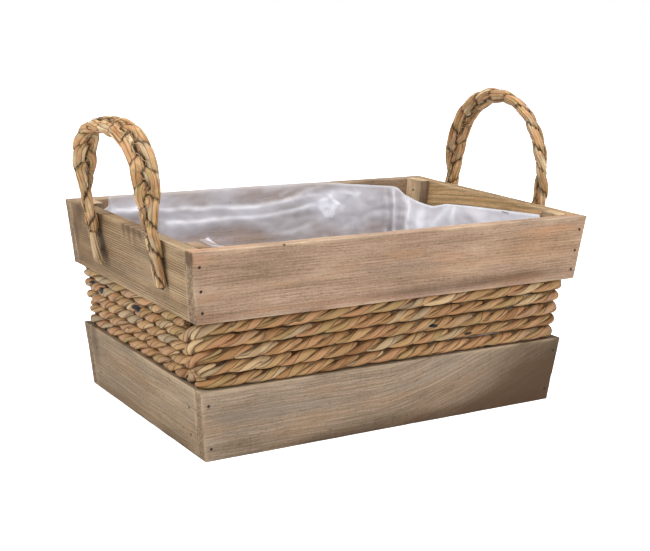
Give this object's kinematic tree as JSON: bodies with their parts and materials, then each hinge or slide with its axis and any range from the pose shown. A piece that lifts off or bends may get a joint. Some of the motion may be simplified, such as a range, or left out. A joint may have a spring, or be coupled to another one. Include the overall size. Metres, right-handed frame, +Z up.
{
  "type": "trug garden basket",
  "caption": "Splayed wooden trug with two board frames, a waist wound in seagrass rope, a plastic liner and a plaited handle that bends at each end.",
  "frame": {"origin": "centre of the base, on the surface that the basket stands on", "axes": "+X along the length, from the left handle to the right one; +Y from the front to the back; +Z up"},
  "size_m": [0.439, 0.2624, 0.2783],
  "materials": {
    "weathered_board": "grey-brown washed softwood, fine sawn",
    "rough_softwood": "rough sawn softwood",
    "seagrass_rope": "twisted seagrass",
    "seagrass_plait": "plaited seagrass",
    "liner_film": "thin translucent polyethylene film",
    "steel_wire": "dark steel wire"
  },
  "bodies": {
    "basket": {"top_board_front": "weathered_board", "top_board_back": "weathered_board", "top_board_left": "weathered_board", "top_board_right": "weathered_board", "bottom_board_front": "weathered_board", "bottom_board_back": "weathered_board", "bottom_board_left": "weathered_board", "bottom_board_right": "weathered_board", "corner_batten_front_left": "rough_softwood", "corner_batten_front_right": "rough_softwood", "corner_batten_back_left": "rough_softwood", "corner_batten_back_right": "rough_softwood", "base_slat_1": "rough_softwood", "base_slat_2": "rough_softwood", "base_slat_3": "rough_softwood", "rope_wrap": "seagrass_rope", "handle_left_front_leg": "seagrass_plait", "handle_left_back_leg": "seagrass_plait", "handle_right_front_leg": "seagrass_plait", "handle_right_back_leg": "seagrass_plait", "liner": "liner_film", "brads_front": "steel_wire", "brads_back": "steel_wire", "brads_left": "steel_wire", "batten_brads_left": "steel_wire", "base_brads_left": "steel_wire", "handle_tacks_left": "steel_wire", "brads_right": "steel_wire", "batten_brads_right": "steel_wire", "base_brads_right": "steel_wire", "handle_tacks_right": "steel_wire", "rope_tacks": "steel_wire", "liner_staples": "steel_wire"},
    "left_handle": {"handle_left": "seagrass_plait"},
    "right_handle": {"handle_right": "seagrass_plait"}
  },
  "joints": [
    {"name": "left_handle_bend", "type": "hinge", "parent": "basket", "child": "left_handle", "pos_m": [-0.20502, -0.01103, 0.18], "axis": [0, 1, 0], "range_deg": [-45, 45]},
    {"name": "right_handle_bend", "type": "hinge", "parent": "basket", "child": "right_handle", "pos_m": [0.20502, 0.01201, 0.18], "axis": [0, -1, 0], "range_deg": [-45, 45]}
  ]
}
